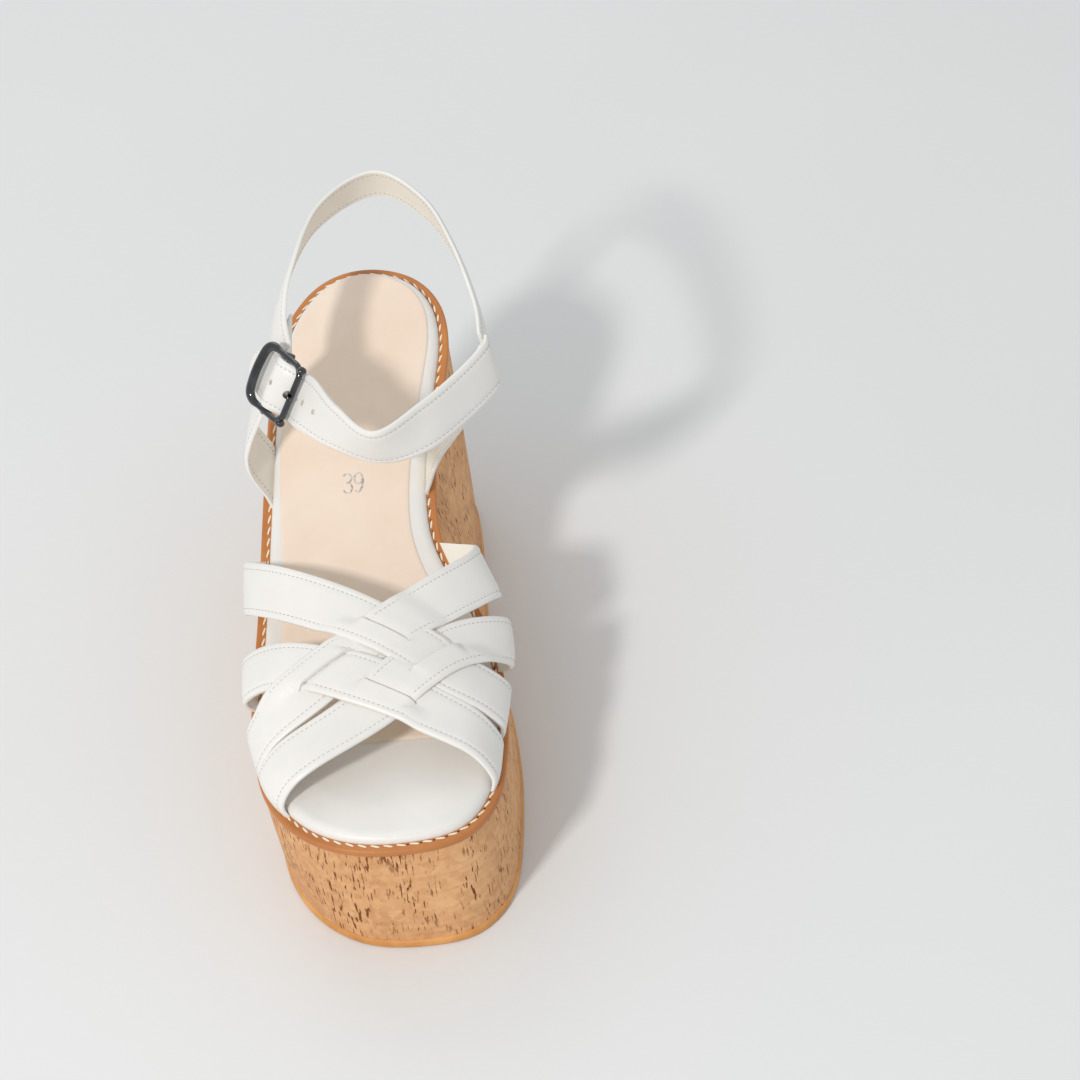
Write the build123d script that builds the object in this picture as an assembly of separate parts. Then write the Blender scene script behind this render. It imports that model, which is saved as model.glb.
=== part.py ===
from build123d import *
import math
import os

# Platform wedge sandal for a right foot, EU 39.
# Millimetres. Toe toward -Y, heel toward +Y, inner (medial) side toward +X, +Z up.
# Origin: centre of the overall footprint, on the floor.

# Sole
OUTSOLE_T = 3.0
CORK_T = 1.4
SEAM = 0.05
WELT_T = 2.8
WELT_W = 4.2
TOP_PLANE_Z = 123.0

# Brings the centre of the footprint over the origin.
CENTRING = (0.15, 0.6, 0)

# Footbed
BOARD_T = 1.9
FOAM_T = 3.0
COVER_T = 1.0
SOCK_T = 0.6
SOCK_MARGIN = 6.0
SOCK_FRONT_Y = -77.0
SHANK_W = 14.0
SHANK_T = 1.2
SHANK_Y = (-18.0, 88.0)

# Leather
LEATHER_T = 1.1
LINING_T = 0.7
STRAP_W = 20.0
VAMP_LIFT = 2.8

# Room left in the welt round every forefoot strap end
NOTCH_SIDE = 0.35
NOTCH_OUT = 0.25
NOTCH_DIP = 1.0

# Welt stitches
STITCH_PITCH = 5.6
STITCH_L = 4.4
STITCH_W = 0.9
STITCH_T = 0.5
STITCH_IN = 1.5

# Buckle
BUCKLE_W = 25.4
BUCKLE_L = 25.0
BUCKLE_BAR = 3.2
BUCKLE_SIDE = 2.0
BUCKLE_T = 2.6
FRONT_BAR_X = -10.9
FRONT_BAR_R = 1.4
KNOB_R = 1.9
CENTRE_BAR_R = 1.0
PRONG_R = 0.8
HOLE_R = 1.7
HOLES_AT = [(-22.2, -2), (-14.7, -2), (-7.4, 21), (0.3, 0)]

# Upper face of the welt along the length of the sandal, as (y, z).
RISE = [
    (-142, 55.6),
    (-98, 52.7),
    (-68, 52.0),
    (-38, 53.6),
    (-9, 60.0),
    (18.5, 71.4),
    (45, 84.6),
    (72, 97.5),
    (100, 107.5),
    (121, 113.0),
    (140, 116.6),
]

# Footbed outline seen from above, from the toe round the inner side and the heel.
FOOTBED = [
    (4, -125.2),
    (22, -123.0),
    (32.5, -115.5),
    (38.3, -103),
    (40.8, -86),
    (41.5, -62),
    (39.4, -40),
    (33.8, -20),
    (25.0, -2),
    (18.6, 14),
    (17.3, 30),
    (18.8, 48),
    (22.8, 71.5),
    (25.6, 90),
    (23.5, 106),
    (14, 119),
    (-3, 124.6),
    (-19, 119.5),
    (-30.5, 104),
    (-36, 86),
    (-39.4, 60),
    (-42.6, 27),
    (-44.6, 0),
    (-47, -40),
    (-46.6, -62),
    (-44.4, -79),
    (-41, -94),
    (-34, -107),
    (-24, -117),
    (-11, -123.2),
]

# Outline of the platform on the floor: fuller at the waist than the footbed.
PLATFORM = [
    (4, -129.0),
    (24, -127.3),
    (36, -118.5),
    (42.6, -104),
    (44.8, -86),
    (45.6, -62),
    (44.6, -40),
    (42.2, -20),
    (38.4, -2),
    (35.4, 14),
    (33.6, 30),
    (32.6, 48),
    (31.8, 71.5),
    (30.6, 90),
    (27.5, 107),
    (16, 122.4),
    (-3, 128.7),
    (-21.5, 122.6),
    (-34.3, 105),
    (-40, 86),
    (-43.3, 60),
    (-46, 27),
    (-47.8, 0),
    (-48.8, -40),
    (-47.6, -62),
    (-45, -79),
    (-41.4, -94),
    (-34.6, -107.6),
    (-25, -118.6),
    (-12, -126.4),
]

# Sections of the space under the straps: y, outer x, inner x, outer bulge, inner bulge, height.
ARCHES = [
    (16, -44.1, 18.0, 7.0, 6.0, 46),
    (-4, -45.2, 26.0, 6.5, 11.0, 42),
    (-22, -46.5, 34.6, 5.0, 8.5, 38),
    (-42, -47.3, 39.8, 3.8, 5.5, 33),
    (-64, -46.6, 41.7, 3.0, 3.5, 28.5),
    (-82, -44.1, 41.2, 2.0, 3.0, 24),
    (-98, -39.8, 39.4, 1.0, 2.0, 20),
    (-112, -30.0, 34.6, 0.5, 1.0, 16),
]

# Where the middle of each forefoot strap meets the footbed edge and crosses the crown, as y.
OUTER_TO_INNER_REAR = (-2, -42, -69)
OUTER_TO_INNER_FRONT = (-37, -72, -95)
INNER_TO_OUTER_REAR = (-71.3, -44, -4)
INNER_TO_OUTER_FRONT = (-94.2, -74, -33)
STRAP_REACH = 11.2
STRAP_STEPS = 24

# Edges of the ankle strap: (upper edge, lower edge) stations.
BACK_STRAP = [
    ((-24.8, 46.6, 144.9), (-34.4, 43.6, 127.7)),
    ((-26.2, 58.0, 152.4), (-34.4, 57.6, 134.2)),
    ((-23.4, 74.6, 159.6), (-30.9, 77.0, 141.2)),
    ((-12.8, 103.0, 167.4), (-18.0, 109.6, 148.8)),
    ((8.0, 116.0, 171.0), (7.2, 124.6, 153.2)),
    ((26.4, 100.0, 169.3), (28.4, 106.6, 150.4)),
    ((37.2, 76.0, 164.6), (40.6, 79.0, 145.2)),
    ((45.6, 48.3, 158.0), (49.0, 46.6, 138.4)),
    ((48.4, 33.6, 153.4), (51.6, 30.4, 133.8)),
]
FRONT_STRAP = [
    ((47.6, 29.2, 152.2), (50.6, 24.4, 133.0)),
    ((38.9, 18.4, 150.4), (40.6, 12.8, 131.2)),
    ((24.6, 4.3, 148.6), (25.0, -1.0, 129.3)),
    ((7.1, -8.1, 147.0), (7.6, -3.0, 127.7)),
    ((-6.0, 6.0, 148.4), (-10.9, 5.8, 129.0)),
]

# Quarter straps from the footbed edge up to the ankle strap: (one edge, other edge).
INNER_QUARTER = [
    ((20.2, 52.5, 90.6), (18.0, 30.5, 80.0)),
    ((30.0, 46.5, 106.5), (24.6, 26.0, 99.5)),
    ((48.0, 34.4, 133.6), (40.4, 17.4, 130.6)),
    ((46.2, 36.0, 146.6), (39.4, 20.8, 143.2)),
]
OUTER_QUARTER = [
    ((-43.0, 31.5, 81.2), (-41.0, 53.0, 91.6)),
    ((-48.4, 34.5, 101.0), (-45.6, 55.0, 108.0)),
    ((-32.6, 45.0, 127.6), (-31.1, 62.0, 134.6)),
    ((-25.6, 47.0, 140.0), (-25.0, 63.5, 147.0)),
]

INNER_QUARTER_FOOT = (19, 41.5)
OUTER_QUARTER_FOOT = (-42, 42.3)

# Buckle seat: centre, direction toward the heel along the strap, outward normal.
BUCKLE_AT = (-31.45, 31.3, 140.6)
BUCKLE_X = (-0.576, 0.817, -0.011)
BUCKLE_Z = (-0.658, -0.456, 0.598)

# Centre line of the strap's inner face through the buckle, as (along, out).
THROUGH_BUCKLE = [
    (-16.5, -4.7),
    (-11, -4.5),
    (-5.5, -2.1),
    (0, 0.3),
    (5.5, -2.6),
    (10, -4.3),
    (14, -4.5),
    (20, -4.3),
]
BAR_OUT = -2.5
TAB_T = 0.9
TAB_W = 18.0
TAB_OUT = -5.0
TAB_REACH = 14.0
RIBBON_STEPS = 30


def grown(points, reach):
    """Outline moved outward by reach along its own normals."""
    out = []
    count = len(points)
    for i in range(count):
        x0, y0 = points[i - 1]
        x1, y1 = points[(i + 1) % count]
        length = math.hypot(x1 - x0, y1 - y0)
        x, y = points[i]
        out.append((x + reach * (y1 - y0) / length, y - reach * (x1 - x0) / length))
    return out


def arcs_through(points):
    """Arcs through every second point, bent to pass the point between."""
    return [ThreePointArc(*points[i : i + 3]) for i in range(0, len(points) - 2, 2)]


def closed_face(points, z):
    """Flat face inside a closed outline of arcs."""
    ring = [(x, y, z) for x, y in points]
    return Face(Wire(arcs_through(ring + ring[:1])))


def column(points, z0, z1):
    """Upright column of a closed outline."""
    return extrude(closed_face(points, z0), amount=z1 - z0, dir=(0, 0, 1))


def slab(low, high):
    """Layer that follows the rise, from low to high above it."""
    bottom = arcs_through([(-80, y, z + low) for y, z in RISE])
    top = arcs_through([(-80, y, z + high) for y, z in RISE])
    ends = [Line(bottom[-1] @ 1, top[-1] @ 1), Line(top[0] @ 0, bottom[0] @ 0)]
    return extrude(Face(Wire(bottom + top + ends)), amount=160, dir=(1, 0, 0))


def layer(points, low, high):
    """Part of the rise layer inside an outline."""
    return column(points, 30, 140) & slab(low, high)


def rise_at(y):
    """Height of the welt's upper face, on the curve through three stations."""
    for i in range(0, len(RISE) - 2, 2):
        (y0, z0), (y1, z1), (y2, z2) = RISE[i : i + 3]
        if y0 <= y <= y2:
            first = (z1 - z0) / (y1 - y0)
            second = ((z2 - z1) / (y2 - y1) - first) / (y2 - y0)
            return z0 + first * (y - y0) + second * (y - y0) * (y - y1)
    return RISE[-1][1]


def block(shrink):
    """Platform and wedge with the walls moved inward by shrink."""
    under_welt = grown(FOOTBED, WELT_W - 0.8)
    upper = []
    for (wx, wy), (px, py) in zip(under_welt, PLATFORM):
        rate = (TOP_PLANE_Z - OUTSOLE_T) / (rise_at(wy) - WELT_T - OUTSOLE_T)
        upper.append((px + (wx - px) * rate, py + (wy - py) * rate))
    low_face = closed_face(grown(PLATFORM, -shrink), OUTSOLE_T + SEAM)
    high_face = closed_face(grown(upper, -shrink), TOP_PLANE_Z)
    return loft([low_face, high_face], ruled=True) & slab(-90, -WELT_T - SEAM)


def make_outsole():
    """Rubber sheet under the whole platform."""
    return column(grown(PLATFORM, 0.2), 0, OUTSOLE_T)


def make_shank():
    """Spring steel strip let into the top of the wedge along the waist."""
    y0, y1 = SHANK_Y
    top = -WELT_T - SEAM
    strip = Pos(-11, (y0 + y1) / 2, 85) * Box(SHANK_W, y1 - y0, 110)
    return strip & slab(top - SHANK_T, top)


def make_core():
    """Solid platform and wedge with a groove for the shank."""
    y0, y1 = SHANK_Y
    top = -WELT_T - SEAM
    groove = Pos(-11, (y0 + y1) / 2, 85) * Box(SHANK_W + 0.4, y1 - y0 + 0.4, 120)
    return block(CORK_T) - (groove & slab(top - SHANK_T - SEAM, top + 1))


def make_cork_wrap():
    """Cork sheet round the wall of the platform and wedge."""
    return block(0) - block(CORK_T - SEAM)


def arch_section(y):
    """Curve of the straps' inner face across the foot, from the outer to the inner side."""
    for before, after in zip(ARCHES, ARCHES[1:]):
        if after[0] <= y <= before[0]:
            share = (before[0] - y) / (before[0] - after[0])
            row = [p + (q - p) * share for p, q in zip(before, after)]
    x0, x1, b0, b1, height = row[1:]
    z = rise_at(y)
    low = z - WELT_T + SEAM
    span = x1 - x0
    return Spline(
        (x0, y, low),
        (x0 - b0, y, z + 0.30 * height),
        (x0 + 0.14 * span, y, z + 0.80 * height),
        ((x0 + x1) / 2, y, z + height),
        (x1 - 0.14 * span, y, z + 0.80 * height),
        (x1 + b1, y, z + 0.30 * height),
        (x1, y, low),
    )


def vamp_edges(line, reach):
    """Front and rear edge of a forefoot strap, from the outer to the inner side."""
    outside, crown, inside = line
    edges = []
    for side in (-reach, reach):
        points = []
        for i in range(STRAP_STEPS + 1):
            share = i / STRAP_STEPS
            sag = crown - (outside + inside) / 2
            y = outside + (inside - outside) * share + 4 * sag * share * (1 - share)
            points.append(arch_section(y + side) @ share)
        edges.append(points)
    return list(zip(*edges))


def vamp_band(line, lift, reach, inner, outer, dip):
    """Band over the forefoot, lifted away from its ends, which reach down by dip."""
    stations = vamp_edges(line, reach)
    faces = []
    for i, (front, rear) in enumerate(stations):
        before = stations[max(i - 1, 0)]
        after = stations[min(i + 1, STRAP_STEPS)]
        forward = after[0] + after[1] - before[0] - before[1]
        normal = forward.cross(rear - front).normalized()
        if i in (0, STRAP_STEPS):
            normal = Vector(normal.X, normal.Y, 0).normalized()
            front = front - Vector(0, 0, dip)
            rear = rear - Vector(0, 0, dip)
        share = i / STRAP_STEPS
        up = lift * min(1, 9 * share, 9 - 9 * share)
        low = up + inner
        high = up + outer
        corners = [
            front + normal * low,
            rear + normal * low,
            rear + normal * high,
            front + normal * high,
        ]
        faces.append(Face(Wire.make_polygon(corners, close=True)))
    return loft(faces, ruled=True)


def make_vamp_strap(line, lift, inner, outer):
    """One layer of one forefoot strap, trimmed where its ends pass the footbed."""
    return vamp_band(line, lift, STRAP_REACH, inner, outer, 0) - layer(grown(FOOTBED, 2 * SEAM), -8, 6)


def make_board():
    """Stiff fibre board that carries the footbed."""
    return layer(grown(FOOTBED, -COVER_T - SEAM), -WELT_T, -WELT_T + BOARD_T)


def make_foam():
    """Soft foam on the board."""
    low = -WELT_T + BOARD_T + SEAM
    return layer(grown(FOOTBED, -COVER_T - SEAM), low, low + FOAM_T)


def make_cover():
    """White leather pulled over the foam and down its sides."""
    top = -WELT_T + BOARD_T + FOAM_T + 2 * SEAM + COVER_T
    outside = layer(FOOTBED, -WELT_T, top)
    return outside - layer(grown(FOOTBED, -COVER_T), -WELT_T - 1, top - COVER_T)


def make_sock():
    """Beige lining sheet glued on the cover, cut square at the front."""
    low = -WELT_T + BOARD_T + FOAM_T + 3 * SEAM + COVER_T
    sheet = layer(grown(FOOTBED, -SOCK_MARGIN), low, low + SOCK_T)
    front = Pos(0, SOCK_FRONT_Y - 60, 80) * Box(160, 120, 160)
    return sheet - front


def make_welt(notches):
    """Leather strip round the footbed, cut away where straps pass under it."""
    ring = layer(grown(FOOTBED, WELT_W), -WELT_T, 0) - layer(grown(FOOTBED, SEAM), -WELT_T - 1, 1)
    for notch in notches:
        ring -= notch
    return ring


def ribbon(stations, inner, outer):
    """Leather band through (upper edge, lower edge) stations, thickened along its normal."""
    upper = Spline(*[station[0] for station in stations])
    lower = Spline(*[station[1] for station in stations])
    faces = []
    for i in range(RIBBON_STEPS + 1):
        share = i / RIBBON_STEPS
        top = upper @ share
        low = lower @ share
        normal = (upper % share + lower % share).cross(low - top).normalized()
        corners = [
            top + normal * inner,
            low + normal * inner,
            low + normal * outer,
            top + normal * outer,
        ]
        faces.append(Face(Wire.make_polygon(corners, close=True)))
    return loft(faces, ruled=True)


def buckle_plane():
    """Plane of the buckle: x toward the heel, y down across the strap, z outward."""
    return Plane(origin=BUCKLE_AT, x_dir=BUCKLE_X, z_dir=BUCKLE_Z)


def front_stations():
    """Stations of the front strap, through the buckle to the strap's end."""
    plane = buckle_plane()
    half = STRAP_W / 2
    stations = list(FRONT_STRAP)
    for along, out in THROUGH_BUCKLE:
        upper = plane.from_local_coords(Vector(along, -half, out))
        lower = plane.from_local_coords(Vector(along, half, out))
        stations.append((tuple(upper), tuple(lower)))
    return stations


def make_front_strap(inner, outer):
    """Front strap with its row of punched holes."""
    strap = ribbon(front_stations(), inner, outer)
    plane = buckle_plane()
    for along, tilt in HOLES_AT:
        strap -= plane * Pos(along, 0, -3) * Rot(0, tilt, 0) * Cylinder(HOLE_R, 14)
    return strap


def bar_axis(radius, length):
    """Round bar across the strap on the buckle's centre bar axis."""
    return Pos(0, 0, BAR_OUT) * Rot(90, 0, 0) * Cylinder(radius, length)


def make_tab():
    """Leather loop round the buckle's centre bar, slotted for the prong."""
    outer = CENTRE_BAR_R + 0.1 + TAB_T
    outline = [
        (0, BAR_OUT + outer),
        (8, TAB_OUT),
        (TAB_REACH, TAB_OUT),
        (TAB_REACH, TAB_OUT - 2 * TAB_T),
        (8, TAB_OUT - 2 * TAB_T),
        (0, BAR_OUT - outer),
    ]
    legs = extrude(Plane.XZ * make_face(Polyline(*outline, close=True)), amount=TAB_W / 2, both=True)
    loop = legs + bar_axis(outer, TAB_W)
    loop -= bar_axis(CENTRE_BAR_R + 0.1, TAB_W + 2)
    loop -= Pos(0, 0, BAR_OUT) * Box(9, 3.6, 9)
    return buckle_plane() * loop


def make_buckle():
    """Cast frame: wide rear bar, thin sides, round front bar with knobs and a centre bar."""
    ring = RectangleRounded(BUCKLE_L, BUCKLE_W, 4.0)
    window = Rectangle(BUCKLE_L - 2 * BUCKLE_BAR, BUCKLE_W - 2 * BUCKLE_SIDE)
    frame = extrude(ring - window, amount=BUCKLE_T / 2, both=True)
    frame = fillet(frame.faces().sort_by(Axis.Z)[-1].outer_wire().edges(), 1.0)
    frame -= Pos(-BUCKLE_L / 2, 0, 0) * Box(2 * BUCKLE_BAR + 1.4, BUCKLE_W + 2, 2 * BUCKLE_T)
    reach = BUCKLE_W / 2 - 1.4
    frame += Pos(FRONT_BAR_X, 0, 0) * Rot(90, 0, 0) * Cylinder(FRONT_BAR_R, 2 * reach)
    for side in (-1, 1):
        middle = side * (BUCKLE_W - BUCKLE_SIDE) / 2
        frame += Pos(FRONT_BAR_X, side * reach, 0) * Rot(90, 0, 0) * Cylinder(KNOB_R, 2.6)
        frame += Pos(-8.8, middle, 0) * Box(4.4, BUCKLE_SIDE, 2.2)
        frame += Pos(0, middle, BAR_OUT / 2) * Box(3.0, BUCKLE_SIDE, -BAR_OUT + 2 * CENTRE_BAR_R)
    frame += bar_axis(CENTRE_BAR_R, BUCKLE_W - 1)
    return buckle_plane() * frame


def make_prong():
    """Bent wire prong that turns on the centre bar and hooks over the front bar."""
    path = Spline(
        (-1.6, 0, BAR_OUT),
        (-4.6, 0, -3.4),
        (-7.0, 0, -2.2),
        (-8.3, 0, 0.6),
        (-10.4, 0, 2.5),
        (-12.6, 0, 2.0),
    )
    start = Plane(origin=path @ 0, z_dir=path % 0)
    wire = sweep(start * Circle(PRONG_R), path=path)
    wire += Pos(-12.6, 0, 2.0) * Sphere(PRONG_R)
    wire += bar_axis(CENTRE_BAR_R + 0.95, 2.6)
    return buckle_plane() * (wire - bar_axis(CENTRE_BAR_R + 0.1, 4))


def stitch_spots():
    """Even steps round the welt: position and heading of every stitch."""
    loop = Wire([Spline(*grown(FOOTBED, STITCH_IN), periodic=True)])
    count = round(loop.length / STITCH_PITCH)
    return [(loop @ (i / count), loop % (i / count)) for i in range(count)]


def make_thread(ends):
    """Lock stitches on the welt, left out where a strap end covers them."""
    stitches = []
    for spot, heading in stitch_spots():
        gap = min(math.hypot(spot.X - x, spot.Y - y) for x, y in ends)
        if gap > STRAP_REACH + STITCH_L / 2:
            ahead = rise_at(spot.Y + 2) - rise_at(spot.Y - 2)
            lie = Vector(heading.X, heading.Y, heading.Y * ahead / 4)
            up = Vector(0, -ahead / 4, 1)
            top = rise_at(spot.Y) + STITCH_T / 2 + 0.1
            seat = Plane(origin=(spot.X, spot.Y, top), x_dir=lie, z_dir=up)
            stitches.append(seat * Box(STITCH_L, STITCH_W, STITCH_T))
    return Compound(children=stitches)


def main():
    os.makedirs("parts", exist_ok=True)
    lines = [OUTER_TO_INNER_REAR, OUTER_TO_INNER_FRONT, INNER_TO_OUTER_REAR, INNER_TO_OUTER_FRONT]
    skin = LINING_T + SEAM
    full = skin + LEATHER_T
    lifts = [0, 0, VAMP_LIFT, VAMP_LIFT]
    notches = []
    for line, lift in zip(lines, lifts):
        reach = STRAP_REACH + NOTCH_SIDE
        notches.append(vamp_band(line, lift, reach, -2 - lift, full + NOTCH_OUT, NOTCH_DIP))
    ends = [INNER_QUARTER_FOOT, OUTER_QUARTER_FOOT]
    for line in lines:
        front = arch_section(line[0])
        back = arch_section(line[2])
        ends += [(front.start_point().X, line[0]), (back.end_point().X, line[2])]
    shapes = {
        "outsole": make_outsole(),
        "wedge_core": make_core(),
        "cork_wrap": make_cork_wrap(),
        "shank": make_shank(),
        "welt": make_welt(notches),
        "welt_thread": make_thread(ends),
        "insole_board": make_board(),
        "footbed_foam": make_foam(),
        "footbed_cover": make_cover(),
        "sock_lining": make_sock(),
        "back_strap_lining": ribbon(BACK_STRAP, 0, LINING_T),
        "back_strap_outer": ribbon(BACK_STRAP, skin, full),
        "front_strap_lining": make_front_strap(0, LINING_T),
        "front_strap_outer": make_front_strap(skin, full),
        "inner_quarter_lining": ribbon(INNER_QUARTER, 0, LINING_T),
        "inner_quarter_outer": ribbon(INNER_QUARTER, skin, full),
        "outer_quarter_lining": ribbon(OUTER_QUARTER, 0, LINING_T),
        "outer_quarter_outer": ribbon(OUTER_QUARTER, skin, full),
        "buckle_tab": make_tab(),
        "buckle_frame": make_buckle(),
        "buckle_prong": make_prong(),
    }
    names = ["vamp_strap_a1", "vamp_strap_a2", "vamp_strap_b1", "vamp_strap_b2"]
    for name, line, lift in zip(names, lines, lifts):
        shapes[name + "_lining"] = make_vamp_strap(line, lift, 0, LINING_T)
        shapes[name + "_outer"] = make_vamp_strap(line, lift, skin, full)
    for name, shape in shapes.items():
        export_step(Pos(*CENTRING) * shape, "parts/" + name + ".step")


main()
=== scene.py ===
import math

import bmesh
import bpy
import numpy as np
from mathutils import Matrix, Vector
from mathutils.kdtree import KDTree


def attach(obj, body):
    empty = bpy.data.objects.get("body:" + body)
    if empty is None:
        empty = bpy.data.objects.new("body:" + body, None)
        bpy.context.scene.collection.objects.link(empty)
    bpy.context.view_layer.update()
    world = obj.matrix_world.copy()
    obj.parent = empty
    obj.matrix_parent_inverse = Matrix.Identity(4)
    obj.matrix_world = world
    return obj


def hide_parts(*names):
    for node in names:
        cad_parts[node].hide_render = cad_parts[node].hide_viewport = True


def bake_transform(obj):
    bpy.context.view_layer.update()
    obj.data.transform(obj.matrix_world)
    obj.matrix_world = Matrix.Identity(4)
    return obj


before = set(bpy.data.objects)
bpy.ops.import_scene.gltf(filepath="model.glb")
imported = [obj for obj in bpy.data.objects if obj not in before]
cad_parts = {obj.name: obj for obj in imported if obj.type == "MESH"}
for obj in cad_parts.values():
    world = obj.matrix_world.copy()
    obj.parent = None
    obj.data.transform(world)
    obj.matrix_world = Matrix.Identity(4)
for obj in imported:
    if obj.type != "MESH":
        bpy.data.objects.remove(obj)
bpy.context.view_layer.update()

# Sizes are in millimetres and in the part's own construction frame, with the toe at -Y and
# Z up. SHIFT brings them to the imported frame.
MM = 0.001
SHIFT = np.array([0.15, 0.6, 0.0])
WELT_T = 2.8
HALF_W = 10.0    # half of a strap's width
STRAP_T = 1.75

# Upper face of the welt along the shoe: (y, height).
RISE = [
    (-142, 55.6), (-98, 52.7), (-68, 52.0), (-38, 53.6), (-9, 60.0), (18.5, 71.4),
    (45, 84.6), (72, 97.5), (100, 107.5), (121, 113.0), (140, 116.6),
]
# Outline of the footbed pad, from the toe along the inner side to the heel and back.
FOOTBED = [
    (4, -125.2), (22, -123.0), (32.5, -115.5), (38.3, -103), (40.8, -86), (41.5, -62),
    (39.4, -40), (33.8, -20), (25.0, -2), (18.6, 14), (17.3, 30), (18.8, 48), (22.8, 71.5),
    (25.6, 90), (23.5, 106), (14, 119), (-3, 124.6), (-19, 119.5), (-30.5, 104), (-36, 86),
    (-39.4, 60), (-42.6, 27), (-44.6, 0), (-47, -40), (-46.6, -62), (-44.4, -79),
    (-41, -94), (-34, -107), (-24, -117), (-11, -123.2),
]
# Outline of the block at the floor, station by station as above.
PLATFORM = [
    (4, -129.0), (24, -127.3), (36, -118.5), (42.6, -104), (44.8, -86), (45.6, -62),
    (44.6, -40), (42.2, -20), (38.4, -2), (35.4, 14), (33.6, 30), (32.6, 48), (31.8, 71.5),
    (30.6, 90), (27.5, 107), (16, 122.4), (-3, 128.7), (-21.5, 122.6), (-34.3, 105),
    (-40, 86), (-43.3, 60), (-46, 27), (-47.8, 0), (-48.8, -40), (-47.6, -62), (-45, -79),
    (-41.4, -94), (-34.6, -107.6), (-25, -118.6), (-12, -126.4),
]
HEEL = 16    # the heel's station in both outlines
# Cross sections under the forefoot straps: y, x of both feet, how far each side bulges, height.
ARCHES = [
    (16, -44.1, 18.0, 7, 12.5, 46), (-4, -45.2, 26.0, 6, 12, 40.5),
    (-22, -46.5, 34.6, 5, 10.5, 34), (-42, -47.3, 39.8, 4.5, 7.5, 29.5),
    (-64, -46.6, 41.7, 3.5, 3, 27.5), (-82, -44.1, 41.2, 2, 0.5, 22.5),
    (-98, -39.8, 39.4, 1, 0.5, 20.5), (-112, -30.0, 34.6, 1, 1, 17),
]
# Centre lines of the forefoot straps: y at 0, 1/4, 1/2, 3/4 and all of the way across.
VAMP_SHARES = (0, 0.25, 0.5, 0.75, 1)
VAMP = {
    "a1": (4.5, -22, -43, -64, -67.5),
    "a2": (-42, -53, -69, -84, -94),
    "b1": (-82.5, -70.5, -50.5, -23.5, 6),
    "b2": (-99, -92.5, -78.5, -49.5, -31),
}
# Ankle straps: upper and lower edge, station by station.
BACK_STRAP = [
    ((-24.8, 46.6, 144.9), (-34.4, 43.6, 127.7)), ((-26.2, 58.0, 152.4), (-34.4, 57.6, 134.2)),
    ((-23.4, 74.6, 159.6), (-30.9, 77.0, 141.2)), ((-12.8, 103.0, 167.4), (-18.0, 109.6, 148.8)),
    ((8.0, 116.0, 171.0), (7.2, 124.6, 153.2)), ((26.4, 100.0, 169.3), (28.4, 106.6, 150.4)),
    ((37.2, 76.0, 164.6), (40.6, 79.0, 145.2)), ((44.9, 48.3, 158.0), (47.9, 46.6, 138.4)),
    ((46.2, 33.8, 153.4), (48.9, 30.6, 133.8)),
]
FRONT_STRAP = [
    ((48.6, 33.6, 152.9), (51.4, 30.2, 133.5)), ((47.6, 29.2, 152.2), (50.6, 24.4, 133.0)),
    ((38.9, 18.4, 150.4), (40.6, 12.8, 131.2)),
    ((24.6, 4.3, 148.6), (25.0, -1.0, 129.3)), ((7.1, -8.1, 147.0), (7.6, -3.0, 127.7)),
    ((-6.0, 6.0, 148.4), (-10.9, 5.8, 129.0)),
]
INNER_QUARTER = [
    ((20.2, 52.5, 90.6), (18.0, 30.5, 80.0)), ((30.0, 46.5, 106.5), (24.6, 26.0, 99.5)),
    ((48.0, 34.4, 133.6), (40.4, 17.4, 130.6)), ((46.2, 36.0, 146.6), (39.4, 20.8, 143.2)),
]
OUTER_QUARTER = [
    ((-43.0, 31.5, 81.2), (-41.0, 53.0, 91.6)), ((-48.4, 34.5, 101.0), (-45.6, 55.0, 108.0)),
    ((-32.6, 45.0, 127.6), (-31.1, 62.0, 134.6)), ((-25.6, 47.0, 140.0), (-25.0, 63.5, 147.0)),
]
# The buckle's middle, its long direction along the strap, and its face direction.
BUCKLE_AT = np.array([-31.45, 31.3, 140.6])
BUCKLE_X = np.array([-0.576, 0.817, -0.011])
BUCKLE_Z = np.array([-0.658, -0.456, 0.598])
# The strap's way over the centre bar: (along, out) in the buckle's frame.
THROUGH_BUCKLE = [
    (-16.5, -4.7), (-11, -4.5), (-5.5, -2.1), (0, 0.3),
    (5.5, -2.6), (10, -4.3), (14, -4.5), (20, -4.3),
]
BAR_OUT = -2.5
HOLES_AT = (-22.2, -14.7, 0.3)
HOLE_RADIUS = 0.9
DRILL_DEPTH = 12.0


# -------- curves and grids

def dense_curve(points, per=24, closed=False):
    """Catmull-Rom curve through the points, with per samples between neighbours."""
    p = np.array(points, float)
    if closed:
        ext = np.vstack([p[-1:], p, p[:2]])
    else:
        ext = np.vstack([2 * p[:1] - p[1:2], p, 2 * p[-1:] - p[-2:-1]])
    t = np.linspace(0, 1, per, endpoint=False)[:, None]
    rows = []
    for a, b, c, d in zip(ext, ext[1:], ext[2:], ext[3:]):
        bend = 2 * a - 5 * b + 4 * c - d
        twist = 3 * b - a - 3 * c + d
        rows.append(0.5 * (2 * b + (c - a) * t + bend * t**2 + twist * t**3))
    if not closed:
        rows.append(p[-1:])
    return np.vstack(rows)


def lengths(p):
    """Distance run along a polyline at each of its points."""
    return np.r_[0, np.cumsum(np.linalg.norm(np.diff(p, axis=0), axis=1))]


def resample(p, at, run=None):
    """Rows of p at the distances at; run holds each row's distance, by default p's own."""
    run = lengths(p) if run is None else run
    return np.stack([np.interp(at, run, column) for column in p.T], axis=1)


def spread(p, count):
    """A polyline as count points, evenly spaced."""
    return resample(p, np.linspace(0, lengths(p)[-1], count))


def even(points, count):
    """A smooth curve through the points, as count points, evenly spaced."""
    return spread(dense_curve(points), count)


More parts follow.
